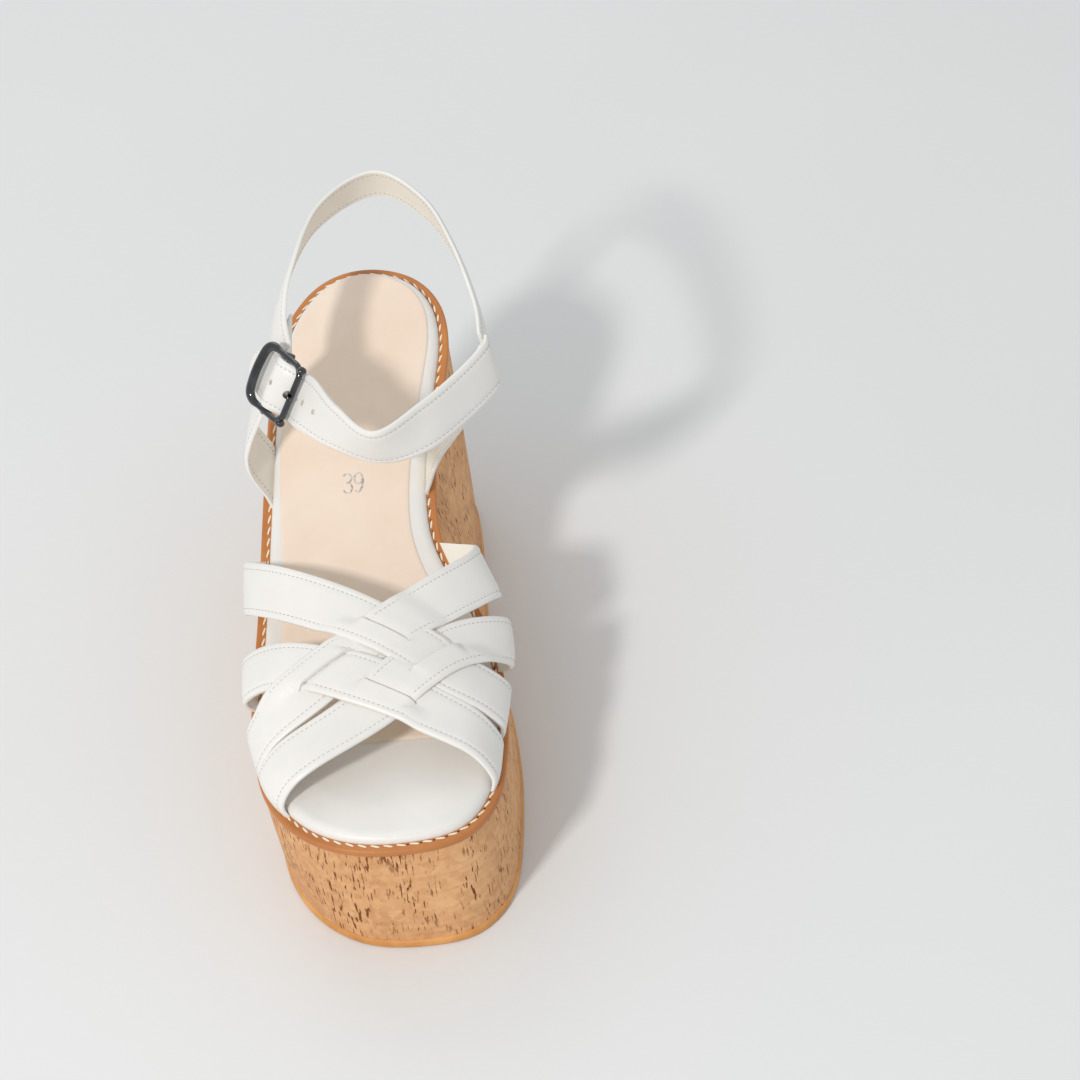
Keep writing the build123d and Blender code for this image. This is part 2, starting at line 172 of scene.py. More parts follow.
def unit(v):
    return v / np.maximum(np.linalg.norm(v, axis=-1, keepdims=True), 1e-9)


RISE_LINE = dense_curve(RISE)


def rise(y):
    return np.interp(y, RISE_LINE[:, 0], RISE_LINE[:, 1])


def on_rise(xy, up):
    """Points above the welt's upper face."""
    return np.column_stack([xy, rise(xy[:, 1]) + up])


def smooth_ring(p, rounds):
    """Softens a closed ring by averaging neighbours."""
    for _ in range(rounds):
        p = 0.5 * p + 0.25 * (np.roll(p, 1, axis=0) + np.roll(p, -1, axis=0))
    return p


PER = 16
OUTLINE_ROUNDS = 30
NORMAL_ROUNDS = 10
FOOT_RING = smooth_ring(dense_curve(FOOTBED, PER, True), OUTLINE_ROUNDS)
PLAT_RING = smooth_ring(dense_curve(PLATFORM, PER, True), OUTLINE_ROUNDS)


def ring_normals(p):
    t = unit(np.roll(p, -1, axis=0) - np.roll(p, 1, axis=0))
    return np.stack([t[:, 1], -t[:, 0]], axis=1)


FOOT_OUT = smooth_ring(ring_normals(FOOT_RING), NORMAL_ROUNDS)


def foot_offset(d):
    """The footbed outline moved outward by d."""
    return FOOT_RING + FOOT_OUT * d


def grid_faces(rows, cols, wrap_rows=False, wrap_cols=False):
    """Quads of a grid of vertices numbered row by row."""
    faces = []
    for i in range(rows - (0 if wrap_rows else 1)):
        for j in range(cols - (0 if wrap_cols else 1)):
            a = i * cols + j
            b = i * cols + (j + 1) % cols
            c = ((i + 1) % rows) * cols + (j + 1) % cols
            d = ((i + 1) % rows) * cols + j
            faces.append((a, b, c, d))
    return faces


def end_faces(rows, cols):
    """The two faces that close a tube of wrapped columns, at its first and last row."""
    return [tuple(range(cols))[::-1], tuple(range(cols * (rows - 1), cols * rows))]


def link_object(name, data):
    obj = bpy.data.objects.new(name, data)
    bpy.context.scene.collection.objects.link(obj)
    return obj


def mesh_object(name, verts, faces, mats, smooth, index=None):
    """Mesh object from vertices in metres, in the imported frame."""
    mesh = bpy.data.meshes.new(name)
    mesh.from_pydata(verts, [], faces)
    for m in mats:
        mesh.materials.append(m)
    mesh.polygons.foreach_set("use_smooth", smooth)
    if index is not None:
        mesh.polygons.foreach_set("material_index", index)
    mesh.update()
    return link_object(name, mesh)


def new_object(name, verts, faces, mats):
    """Smooth mesh object from vertices in the construction frame."""
    verts = ((np.asarray(verts, float) + SHIFT) * MM).tolist()
    return mesh_object(name, verts, faces, mats, [True] * len(faces))


def apply_modifiers(obj):
    deps = bpy.context.evaluated_depsgraph_get()
    mesh = bpy.data.meshes.new_from_object(obj.evaluated_get(deps))
    obj.modifiers.clear()
    obj.data = mesh


def recalc(obj):
    """Turns all faces outward."""
    bm = bmesh.new()
    bm.from_mesh(obj.data)
    bmesh.ops.recalc_face_normals(bm, faces=bm.faces)
    bm.to_mesh(obj.data)
    bm.free()
    return obj


def solid(name, verts, faces, mat):
    return recalc(new_object(name, verts, faces, [MATS[mat]]))


def join(objs, name):
    """Joins objects that share one frame; material lists are merged."""
    verts, faces, index, mats, smooth = [], [], [], [], []
    for o in objs:
        base = len(verts)
        remap = []
        for m in o.data.materials:
            if m not in mats:
                mats.append(m)
            remap.append(mats.index(m))
        verts += [tuple(v.co) for v in o.data.vertices]
        for p in o.data.polygons:
            faces.append([base + v for v in p.vertices])
            index.append(remap[p.material_index])
            smooth.append(p.use_smooth)
    for o in objs:
        old = o.data
        bpy.data.objects.remove(o)
        bpy.data.meshes.remove(old)
    return mesh_object(name, verts, faces, mats, smooth, index)


# -------- materials

def srgb(r, g, b):
    def lin(c):
        c /= 255
        return c / 12.92 if c <= 0.04045 else ((c + 0.055) / 1.055) ** 2.4
    return (lin(r), lin(g), lin(b), 1.0)


class Mat:
    """A procedural material in the making, in object coordinates (metres)."""

    def __init__(self, name):
        self.mat = bpy.data.materials.new(name)
        self.mat.use_nodes = True
        self.nodes = self.mat.node_tree.nodes
        self.links = self.mat.node_tree.links
        self.shader = self.nodes["Principled BSDF"]
        self.coord = self.nodes.new("ShaderNodeTexCoord").outputs["Object"]

    def feed(self, socket, value):
        """Links a socket to another one, or sets its value."""
        if isinstance(value, bpy.types.NodeSocket):
            self.links.new(value, socket)
        else:
            socket.default_value = value

    def node(self, kind, **inputs):
        node = self.nodes.new("ShaderNode" + kind)
        for key, value in inputs.items():
            self.feed(node.inputs[key.replace("_", " ")], value)
        return node

    def set(self, **values):
        for key, value in values.items():
            self.shader.inputs[key.replace("_", " ")].default_value = value

    def mapped(self, scale):
        """Coordinates stretched per axis: a small scale draws the pattern out that way."""
        return self.node("Mapping", Scale=scale, Vector=self.coord).outputs["Vector"]

    def noise(self, scale, detail=3, rough=0.5, vector=None, distort=0.0):
        return self.node("TexNoise", Scale=scale, Detail=detail, Roughness=rough,
                         Distortion=distort, Vector=vector or self.coord).outputs["Fac"]

    def cells(self, scale, feature="F1", output="Distance"):
        node = self.node("TexVoronoi", Scale=scale, Vector=self.coord)
        node.feature = feature
        return node.outputs[output]

    def ramp(self, fac, stops):
        node = self.node("ValToRGB", Fac=fac)
        while len(node.color_ramp.elements) < len(stops):
            node.color_ramp.elements.new(0.5)
        for element, (at, colour) in zip(node.color_ramp.elements, stops):
            element.position = at
            element.color = colour if len(colour) == 4 else (*colour, 1)
        return node.outputs["Color"]

    def math(self, kind, a, b):
        node = self.node("Math")
        node.operation = kind
        for socket, value in zip(node.inputs, (a, b)):
            self.feed(socket, value)
        return node.outputs[0]

    def span(self, fac, low, high):
        return self.node("MapRange", Value=fac, To_Min=low, To_Max=high).outputs["Result"]

    def mix(self, fac, a, b, blend="MIX"):
        node = self.node("Mix")
        node.data_type = "RGBA"
        node.blend_type = blend
        for key, value in (("Factor", fac), ("A", a), ("B", b)):
            colour = key != "Factor"
            sockets = [s for s in node.inputs if s.name == key and (s.type == "RGBA") == colour]
            self.feed(sockets[0], value)
        return [s for s in node.outputs if s.type == "RGBA"][0]

    def bump(self, height, strength, distance, normal=None):
        """Adds relief, on top of the relief in normal, and sends the sum to the shader."""
        node = self.node("Bump", Strength=strength, Distance=distance, Height=height)
        if normal is not None:
            self.feed(node.inputs["Normal"], normal)
        self.out(node.outputs["Normal"], "Normal")
        return node.outputs["Normal"]

    def out(self, socket, name):
        self.links.new(socket, self.shader.inputs[name])


def toned(name, pattern, low, high, start=0.3, end=0.7, **values):
    """Material in two tones that follow a noise; returns it and the noise."""
    m = Mat(name)
    tone = m.noise(*pattern)
    m.out(m.ramp(tone, [(start, low), (end, high)]), "Base Color")
    m.set(**values)
    return m, tone


def leather(name, colour, shade, rough, grain, depth, coat=0.0):
    """Grained leather between two tones; grain is cells per metre and depth its relief."""
    m, _ = toned(name, (28, 4, 0.6), shade, colour,
                 Specular_IOR_Level=0.45, Coat_Weight=coat, Coat_Roughness=0.35)
    fine = m.noise(900, 2)
    m.out(m.span(fine, rough - 0.06, rough + 0.08), "Roughness")
    cells = m.cells(grain, "SMOOTH_F1")
    creases = m.noise(140, 5, 0.65, distort=0.6)
    first = m.bump(cells, 0.25, depth)
    m.bump(creases, 0.3, depth * 1.6, first)
    return m.mat


def make_materials():
    mats = {}
    # key, light tone, dark tone, roughness, grain, relief, coat
    for key, light, deep, *rest in (
        ("white", (234, 231, 227), (226, 223, 218), 0.42, 1500, 0.00006, 0.12),
        ("edge", (238, 237, 234), (226, 225, 221), 0.5, 1200, 0.00004),
        ("lining", (243, 238, 229), (235, 228, 216), 0.6, 1300, 0.00006),
        ("sock", (240, 223, 206), (233, 212, 193), 0.62, 1800, 0.00005),
        ("welt", (200, 130, 68), (174, 104, 48), 0.46, 1000, 0.00008, 0.15),
    ):
        name = "edge_paint" if key == "edge" else key + "_leather"
        mats[key] = leather(name, srgb(*light), srgb(*deep), *rest)

    m, twist = toned(
        "strap_thread", (2500, 2), srgb(140, 139, 137), srgb(172, 171, 168), Roughness=0.7)
    m.bump(twist, 0.4, 0.0001)
    mats["thread"] = m.mat

    m, twist = toned(
        "welt_thread", (1800, 2), srgb(232, 214, 184), srgb(250, 241, 222), Roughness=0.75)
    m.bump(twist, 0.5, 0.00015)
    mats["lockstitch"] = m.mat

    # Needle holes: dark brown marks, painted shade of the recess in each hole.
    m, _ = toned("needle_hole_painted_shade", (600, 2), srgb(60, 36, 18), srgb(92, 56, 28), Roughness=0.9)
    mats["hole"] = m.mat

    # Cork: granules over soft patches, upright dark flecks in clusters, faint layers.
    m = Mat("natural_cork")
    patches = m.noise(22, 4, 0.6)
    granules = m.cells(420, output="Color")
    base = m.ramp(patches, [(0.3, srgb(207, 149, 100)), (0.7, srgb(232, 181, 132))])
    grain_tone = m.ramp(granules, [(0.0, srgb(190, 134, 86)), (1.0, srgb(243, 197, 147))])
    colour = m.mix(0.4, base, grain_tone)
    upright = m.mapped((1.0, 1.0, 0.15))
    flecks = m.noise(1120, 2, 0.5, upright)
    clusters = m.noise(70, 3, 0.6)
    sharp = m.ramp(flecks, [(0.58, (0, 0, 0)), (0.615, (1, 1, 1))])
    where = m.ramp(clusters, [(0.43, (0, 0, 0)), (0.56, (1, 1, 1))])
    dark = m.math("MULTIPLY", sharp, where)
    colour = m.mix(dark, colour, srgb(122, 68, 32))
    layers = m.noise(60, 3, 0.6, m.mapped((0.3, 0.3, 6.0)))
    bands = m.ramp(layers, [(0.4, (0.88, 0.85, 0.82)), (0.6, (1, 1, 1))])
    colour = m.mix(0.6, colour, bands, "MULTIPLY")
    streak = m.noise(150, 3, 0.55, m.mapped((1.0, 1.0, 0.12)))
    streaks = m.ramp(streak, [(0.35, (0.8, 0.74, 0.68)), (0.6, (1, 1, 1))])
    colour = m.mix(0.35, colour, streaks, "MULTIPLY")
    m.out(colour, "Base Color")
    m.out(m.span(granules, 0.6, 0.85), "Roughness")
    first = m.bump(m.math("SUBTRACT", 1.0, dark), 0.35, 0.0003)
    m.bump(m.noise(700, 3), 0.3, 0.0001, first)
    m.set(Specular_IOR_Level=0.3)
    mats["cork"] = m.mat

    m, _ = toned("outsole_rubber", (60, 4, 0.6), srgb(196, 132, 66), srgb(224, 164, 96))
    m.out(m.span(m.noise(400, 2), 0.45, 0.65), "Roughness")
    m.bump(m.noise(900, 3), 0.3, 0.0001)
    mats["outsole"] = m.mat

    # Chrome: its dark base colour is a painted reflection of dark surroundings. The noise paints
    # darker reflection patches and also varies the roughness.
    m, smudge_and_painted_reflection = toned("chrome_painted_dark_reflection", (160, 2), srgb(44, 45, 47), srgb(72, 73, 76),
                     Metallic=1.0, Coat_Weight=0.8, Coat_Roughness=0.04, Coat_IOR=1.6)
    m.out(m.span(smudge_and_painted_reflection, 0.07, 0.14), "Roughness")
    m.bump(m.noise(90, 2), 0.15, 0.00005)
    mats["chrome"] = m.mat

    m, worn = toned("silver_foil", (900, 3, 0.6), srgb(176, 168, 158), srgb(238, 238, 238),
                    0.35, 0.6, Metallic=0.85)
    m.out(m.span(worn, 0.25, 0.5), "Roughness")
    mats["foil"] = m.mat

    m, _ = toned("studio_floor", (3, 2), (0.74, 0.745, 0.745), (0.76, 0.765, 0.765),
                 Roughness=0.8, Specular_IOR_Level=0.2)
    mats["floor"] = m.mat
    return mats


MATS = make_materials()
LINING_SLOT, WHITE_SLOT, EDGE_SLOT = 0, 1, 2    # a strap's materials, in this order


# -------- sole

UP_ROWS = 240         # rows of the grids that span the sole from toe to heel
PAD_COLS = 61
DECK_COLS = 25
SOCK_ROWS = 220
SOCK_COLS = 49
WALL_ROWS = 40
WALL_FOOT = 3.0       # height where the cork stands on the outsole
WALL_TOP_OUT = 3.5    # its upper edge, outside the footbed
WALL_GAP = 0.1        # under the welt
WALL_SWELL = 0.35


def make_wall():
    """Cork wall from the outsole to the welt with a soft swell, and the deck over it."""
    count = len(PLAT_RING)
    top_xy = foot_offset(WALL_TOP_OUT)
    top_z = rise(top_xy[:, 1]) - WELT_T - WALL_GAP
    rings = [np.column_stack([PLAT_RING * 0.9, np.full(count, WALL_FOOT)])]
    for share in np.arange(WALL_ROWS) / (WALL_ROWS - 1):
        swell = WALL_SWELL * math.sin(math.pi * share)
        xy = PLAT_RING * (1 - share) + top_xy * share + ring_normals(PLAT_RING) * swell
        rings.append(np.column_stack([xy, WALL_FOOT + (top_z - WALL_FOOT) * share]))
    faces = grid_faces(len(rings), count, False, True) + end_faces(len(rings), count)[:1]
    wall = new_object("wall", np.vstack(rings), faces, [MATS["cork"]])
    a, b = half_lines(top_xy, 0, HEEL * PER, UP_ROWS)
    xy = cross_grid(a, b, DECK_COLS).reshape(-1, 2)
    deck = on_rise(xy, -WELT_T - WALL_GAP)
    lid = new_object("lid", deck, grid_faces(UP_ROWS, DECK_COLS), [MATS["cork"]])
    return recalc(join([wall, lid], "cork_wall"))


def make_outsole():
    """Rubber sheet under the block: profile points are (out, up) from its outline."""
    profile = [
        (-3.0, 0.0), (-0.4, 0.0), (0.3, 0.2), (0.7, 0.7), (0.85, 1.5),
        (0.8, 3.0), (0.55, 3.7), (0.1, 4.0), (-3.0, 4.05),
    ]
    normals = ring_normals(PLAT_RING)
    count = len(PLAT_RING)
    rings = []
    for out, up in profile:
        rings.append(np.column_stack([PLAT_RING + normals * out, np.full(count, up)]))
    faces = grid_faces(len(profile), count, False, True) + end_faces(len(profile), count)
    return solid("outsole_sheet", np.vstack(rings), faces, "outsole")


def half_lines(ring, start, end, count):
    """Both sides of a ring from index start to end, as two lines of equal count."""
    n = len(ring)
    one = ring[np.arange(start, end + 1) % n]
    two = ring[np.arange(start, end - n - 1, -1) % n]
    return [spread(side, count) for side in (one, two)]


def edge_distance(xy, ring, block=2000):
    """Distance of each point to the nearest point of a ring, a block of points at a time."""
    best = np.empty(len(xy))
    for i in range(0, len(xy), block):
        d = np.linalg.norm(xy[i:i + block, None] - ring, axis=2)
        best[i:i + block] = d.min(axis=1)
    return best


def cross_grid(side_a, side_b, cols):
    """Points between two lines of equal count, closer together near the lines."""
    u = 0.5 - 0.5 * np.cos(np.linspace(0, math.pi, cols))[:, None]
    return side_a[:, None] * (1 - u) + side_b[:, None] * u


PAD_OUT = 0.4         # how far the pad's side stands outside its outline
ROLL_REACH = 3.9      # width of the rounded edge
ROLL_HIGH = 3.1
CROWN_HIGH, CROWN_REACH = 0.54, 26
TOE_PILLOW, TOE_PILLOW_Y, TOE_PILLOW_LONG, TOE_PILLOW_REACH = 1.1, -104, 17, 14


def rolled_edge(d):
    """Height of the rounded edge at distance d inside the footbed outline."""
    share = np.clip((d + PAD_OUT) / ROLL_REACH, 0, 1)
    return ROLL_HIGH * np.sqrt(1 - (1 - share) ** 2)


def footbed_height(xy):
    """Height of the soft footbed above the welt's upper face."""
    d = edge_distance(xy, FOOT_RING)
    crown = CROWN_HIGH * np.clip(d / CROWN_REACH, 0, 1) ** 0.6
    along = np.exp(-((xy[:, 1] - TOE_PILLOW_Y) / TOE_PILLOW_LONG) ** 2)
    pillow = TOE_PILLOW * along * np.clip(d / TOE_PILLOW_REACH, 0, 1)
    return rolled_edge(d) + crown + pillow


def make_footbed():
    """Padded footbed: a crowned top, and the rolled edge carried down to the board."""
    a, b = half_lines(foot_offset(-0.8), 0, HEEL * PER, UP_ROWS)
    xy = cross_grid(a, b, PAD_COLS).reshape(-1, 2)
    top = on_rise(xy, footbed_height(xy))
    crown = new_object("padded_top", top, grid_faces(UP_ROWS, PAD_COLS), [MATS["white"]])
    wall = []
    for out in (-2.2, -1.8, -1.4, -1.0, -0.7, -0.4, -0.1, 0.15, 0.3, 0.37, 0.39):
        p = foot_offset(out)
        wall.append(on_rise(p, footbed_height(p) + 0.02 if out < 0 else rolled_edge(-out)))
    for out, up in ((PAD_OUT, -0.2), (PAD_OUT, -1.2), (0.3, -2.7)):
        wall.append(on_rise(foot_offset(out), up))
    faces = grid_faces(len(wall), len(FOOT_RING), False, True)
    side = new_object("padded_side", np.vstack(wall), faces, [MATS["white"]])
    return recalc(join([crown, side], "footbed_pad"))


# Bare rim beside the sock, by footbed station.
SOCK_MARGIN = np.array([
    (0, 6), (5, 7), (8, 7.5), (10, 6), (12, 4), (14, 3), (16, 2.2), (18, 1.8), (20, 2.0),
    (21, 3.5), (22, 6), (23, 7), (25, 7), (30, 6),
])
SOCK_FRONT = -77.0
SOCK_T = 0.57


def make_sock():
    """Sock sheet on the footbed, cut square at the front and thinned at its border."""
    n = len(FOOT_RING)
    margin = np.interp(np.arange(n) / PER, SOCK_MARGIN[:, 0], SOCK_MARGIN[:, 1])
    ring = FOOT_RING - FOOT_OUT * margin[:, None]
    heel = HEEL * PER
    inner = ring[:heel + 1]
    outer = ring[np.arange(n, heel - 1, -1) % n]
    inner = inner[inner[:, 1] > SOCK_FRONT]
    outer = outer[outer[:, 1] > SOCK_FRONT]
    pair = [spread(side, SOCK_ROWS) for side in (inner, outer)]
    pair[0][0, 1] = pair[1][0, 1] = SOCK_FRONT
    grid = cross_grid(pair[0], pair[1], SOCK_COLS)
    xy = grid.reshape(-1, 2)
    border = np.vstack([grid[0], grid[:, 0], grid[:, -1], grid[-1]])
    d = edge_distance(xy, border)
    lift = 0.12 + (SOCK_T - 0.12) * (1 - np.exp(-d / 0.35))
    top = on_rise(xy, footbed_height(xy) + lift)
    return solid("sock_sheet", top, grid_faces(SOCK_ROWS, SOCK_COLS), "sock")


# Strokes of the size number, in a unit box; the digits stand side by side.
THREE = [
    (0.0, 0.86), (0.2, 1.0), (0.7, 0.98), (0.95, 0.78), (0.75, 0.56), (0.4, 0.52),
    (0.8, 0.46), (1.0, 0.24), (0.75, 0.02), (0.2, 0.0), (0.0, 0.14),
]
NINE = [
    (0.1, 0.06), (0.5, 0.0), (0.92, 0.3), (1.0, 0.72), (0.75, 0.98), (0.3, 0.98),
    (0.02, 0.74), (0.2, 0.5), (0.6, 0.46), (0.96, 0.62),
]
MARK_AT = (-10.1, 35.0)
MARK_SIZE = (3.3, 6.8)
MARK_GAP = 0.9
MARK_WIRE = 0.42
MARK_FLAT = 0.25


def make_size_mark():
    """Foil size number pressed into the sock."""
    objs = []
    for digit, strokes in enumerate((THREE, NINE)):
        left = MARK_AT[0] - MARK_SIZE[0] - MARK_GAP / 2 + digit * (MARK_SIZE[0] + MARK_GAP)
        corner = (left, MARK_AT[1] - MARK_SIZE[1] / 2)
        flat = even(np.array(strokes) * MARK_SIZE + corner, 60)
        path = on_rise(flat, footbed_height(flat) + SOCK_T)
        objs.append(tube("digit", path, MARK_WIRE, "foil", (0, 0, 1), 10, squash=MARK_FLAT))
    return join(objs, "size_mark")


# -------- forefoot straps

ARCH_ROWS = dense_curve(ARCHES)[::-1]


def arch_section(y):
    """The straps' inner face in one cross section, from the outer foot to the inner one."""
    x0, x1, b0, b1, height = [np.interp(y, ARCH_ROWS[:, 0], row) for row in ARCH_ROWS.T[1:]]
    z = rise(y)
    low = z - WELT_T
    span = x1 - x0
    pts = [
        (x0, y, low),
        (x0 - b0, y, z + 0.30 * height),
        (x0 + 0.14 * span, y, z + 0.80 * height),
        ((x0 + x1) / 2, y, z + height),
        (x1 - 0.14 * span, y, z + 0.80 * height),
        (x1 + b1, y, z + 0.30 * height),
        (x1, y, low),
    ]
    return even(pts, ARCH_COLS + 1)


ARCH_STEP = 1.5
ARCH_COLS = 160
ARCH_Y = np.arange(-126, 30, ARCH_STEP)
TAIL_DROP = 150.0    # how steeply the straps go down past their feet
ARCH_TABLE = np.array([arch_section(y) for y in ARCH_Y])


def on_arch(s, y):
    """Points of the straps' inner face at share s across and at y along."""
    inside = np.clip(s, 0, 1)
    u = np.clip((y - ARCH_Y[0]) / ARCH_STEP, 0, len(ARCH_Y) - 1.001)
    v = np.clip(inside * ARCH_COLS, 0, ARCH_COLS - 0.001)
    i = u.astype(int)
    j = v.astype(int)
    fu = (u - i)[..., None]
    fv = (v - j)[..., None]
    p = (ARCH_TABLE[i, j] * (1 - fu) * (1 - fv) + ARCH_TABLE[i + 1, j] * fu * (1 - fv)
         + ARCH_TABLE[i, j + 1] * (1 - fu) * fv + ARCH_TABLE[i + 1, j + 1] * fu * fv)
    p[..., 2] -= np.abs(s - inside) * TAIL_DROP
    return p


# Columns across every strap, from edge to edge; they are dense beside the seams.
HALF = [0.08, 0.2, 0.35, 0.5, 0.64, 0.7, 0.75, 0.8, 0.86, 0.92, 0.97, 1]
WIDE = np.array([-w for w in HALF[::-1]] + [0] + HALF)
MID = len(HALF)
LONG = 170       # rows along a forefoot strap
TAIL = 0.07      # share by which it runs on past its feet


def step(x):
    """Smooth ramp from 0 to 1."""
    x = np.clip(x, 0, 1)
    return x * x * (3 - 2 * x)


def smooth_rows(a, rounds):
    a = a.copy()
    for _ in range(rounds):
        a[1:-1] = 0.5 * a[1:-1] + 0.25 * (a[2:] + a[:-2])
    return a


def running_mean(a, reach=8):
    count = 2 * reach + 1
    return np.convolve(np.pad(a, reach, mode="edge"), np.ones(count) / count, "valid")


UNDER_ARCH = np.array([0.0, -45.0, 55.0])    # a point in the foot's room


class Vamp:
    """One forefoot strap: its points on the arch, normals and centre line."""

    def __init__(self, name):
        line = dense_curve(list(zip(VAMP_SHARES, VAMP[name])))
        t = np.linspace(-TAIL, 1 + TAIL, LONG)
        c = np.clip(t, 0, 1)
        yc = np.interp(c, line[:, 0], line[:, 1])
        # The arch's own directions along the centre line, per share across and per mm along.
        e = 1e-3
        ps = smooth_rows((on_arch(c + e, yc) - on_arch(c - e, yc)) / (2 * e), 12)
        py = on_arch(c, yc + 0.5) - on_arch(c, yc - 0.5)
        normal = unit(np.cross(ps, py))
        slope = np.gradient(yc, t)
        along = unit(ps + py * slope[:, None])
        across = unit(np.cross(normal, along))
        # The step in share and in y that goes one millimetre across the strap.
        g11 = (ps * ps).sum(1)
        g12 = (ps * py).sum(1)
        g22 = (py * py).sum(1)
        r1 = (across * ps).sum(1)
        r2 = (across * py).sum(1)
        det = g11 * g22 - g12 * g12
        ds = (r1 * g22 - r2 * g12) / det
        dy = (r2 * g11 - r1 * g12) / det
        flip = np.where(dy < 0, -1.0, 1.0)
        ds, dy, across = ds * flip, dy * flip, across * flip[:, None]
        ds, dy = running_mean(ds), running_mean(dy)
        width = np.full((LONG, len(WIDE)), HALF_W)
        if name == "b1":
            # Its half on the toe side is wider where a2 comes through.
            bulge = np.exp(-(((t - B1_WIDER_AT) / B1_WIDER_LONG) ** 2))
            width[:, :MID] *= 1 + B1_WIDER * bulge[:, None]
        s = t[:, None] + ds[:, None] * WIDE * width
        y = yc[:, None] + dy[:, None] * WIDE * width
        self.base = on_arch(s, y)
        du = np.gradient(self.base, axis=0)
        dv = np.gradient(self.base, WIDE, axis=1)
        n = unit(np.cross(du, dv))
        out = np.sign(((self.base - UNDER_ARCH) * n).sum(-1).mean())
        self.n = unit(smooth_rows(n * out, 6))
        self.centre = self.base[:, MID]
        self.across = unit(self.base[:, -1] - self.base[:, 0])
        self.lift = np.zeros(self.base.shape[:2])

    def signed(self, points):
        """Distance from this strap's centre line, positive on the heel side."""
        flat = points.reshape(-1, 3)
        d = np.linalg.norm(flat[:, None] - self.centre, axis=2)
        k = d.argmin(axis=1)
        side = np.einsum("ij,ij->i", flat - self.centre[k], self.across[k])
        return (np.sign(side) * d.min(axis=1)).reshape(points.shape[:-1])


CROSSINGS = [("a1", "b1", 1), ("a2", "b2", 1), ("b2", "a1", 1), ("b1", "a2", -1)]
OVER = 1.95          # lift of a strap where it lies on another
SLIT_HALF = 10.7     # half of a slit's length
PEAK = 2.65          # lift of a slit's upper lip
SUNK = 0.3           # how far its lower lip is pressed down
CLIMB_FROM, CLIMB_LONG = -3.5, 8.0
FADE_END, FADE_LONG = 20.0, 9.5
LIP_EASE = 2.8       # how gently a slit opens at its ends
LIP_SLOPE = 0.75     # how much lower the lip's strap edge lies
FLANK = 2.0          # lift of the strap's edge beside a slit
B1_WIDER, B1_WIDER_AT, B1_WIDER_LONG = 0.15, 0.33, 0.13


def weave(straps):
    """Sets the lifts. In each crossing (slit, through, side) the strap through passes over
    the slit strap's half on that side (1 heel, -1 toe) and under its other half."""
    for t_name, s_name, side in CROSSINGS:
        slit, through = straps[t_name], straps[s_name]
        d = slit.signed(through.base) * side
        climb = step((d - CLIMB_FROM) / CLIMB_LONG)
        through.lift = np.maximum(through.lift, OVER * climb * step((FADE_END - d) / FADE_LONG))
        d = through.signed(slit.base)
        hold = step((SLIT_HALF - np.abs(d)) / LIP_EASE)
        fade = step((FADE_END - np.abs(d)) / FADE_LONG)
        w = WIDE * side
        raised = np.clip(-w, 0, 1)
        lip = hold * (PEAK - LIP_SLOPE * raised)
        flank = fade * FLANK * step(raised / 0.6)
        high = np.maximum(lip, flank) * (w < 0)
        low = -SUNK * hold * (1 - np.clip(w, 0, 1)) * (w > 0)
        is_cut = np.abs(d[:, MID]) < SLIT_HALF
        slit.cut = (is_cut, hold[:, MID] * PEAK, -SUNK * hold[:, MID], side)
        slit.own = high + low
    for strap in straps.values():
        most = np.maximum(strap.lift, strap.own)
        strap.lift = np.where(strap.own > 0, most, strap.lift + strap.own)


# Thickness across a strap: full in the middle, pulled in along the seam, thin at the edge.
THICK = np.interp(
    np.abs(WIDE), [0, 0.64, 0.75, 0.86, 0.95, 1.0], [1.0, 0.98, 0.84, 0.96, 0.8, 0.6])
SLIT_GAP = 0.12
EDGE_ROUND = 0.35
EDGE_ANGLE = math.radians(50)
FACE_ON = 0.45       # a face this square to the strap is leather, any other is painted edge


def build_sheet(name, base, n, lift, cut=None):
    """Leather strap as a solid with rounded, painted edges. Along a slit, the middle column
    is doubled: the half towards the low edge gets points of its own, in left."""
    rows, cols = lift.shape
    inner = base + n * lift[..., None]
    points = [inner.reshape(-1, 3)]
    weights = np.tile(THICK, rows)
    ids = np.arange(rows * cols).reshape(rows, cols)
    left = ids.copy()
    if cut is not None:
        where, high, low, side = cut
        first, second = (high, low) if side > 0 else (low, high)
        across = unit(base[:, MID + 1] - base[:, MID - 1]) * SLIT_GAP
        extra = []
        for i in np.flatnonzero(where):
            points[0][ids[i, MID]] = base[i, MID] + n[i, MID] * second[i] + across[i]
            left[i, MID] = rows * cols + len(extra)
            extra.append(base[i, MID] + n[i, MID] * first[i] - across[i])
        points.append(np.array(extra))
        weights = np.r_[weights, np.ones(len(extra))]
    faces = []
    for i in range(rows - 1):
        for j in range(cols - 1):
            use = left if j < MID else ids
            faces.append((use[i, j], use[i, j + 1], use[i + 1, j + 1], use[i + 1, j]))
    verts = np.vstack(points)
    mid = rows // 2
    a, b, d = inner[mid, 2], inner[mid, 3], inner[mid + 1, 2]
    if np.dot(np.cross(b - a, d - a), n[mid, 2]) < 0:
        faces = [f[::-1] for f in faces]
    obj = new_object(name, verts, faces, [MATS["lining"], MATS["white"], MATS["edge"]])
    group = obj.vertex_groups.new(name="thick")
    for k, w in enumerate(weights):
        group.add([k], float(w), "REPLACE")
    shell = obj.modifiers.new("shell", "SOLIDIFY")
    shell.thickness = STRAP_T * MM
    shell.offset = 1.0
    shell.vertex_group = "thick"
    shell.use_even_offset = True
    shell.material_offset = LINING_SLOT
    shell.material_offset_rim = EDGE_SLOT
    bevel = obj.modifiers.new("round", "BEVEL")
    bevel.width = EDGE_ROUND * MM
    bevel.segments = 2
    bevel.limit_method = "ANGLE"
    bevel.angle_limit = EDGE_ANGLE
    apply_modifiers(obj)
    paint_sides(obj, verts, n.reshape(-1, 3))
    return obj


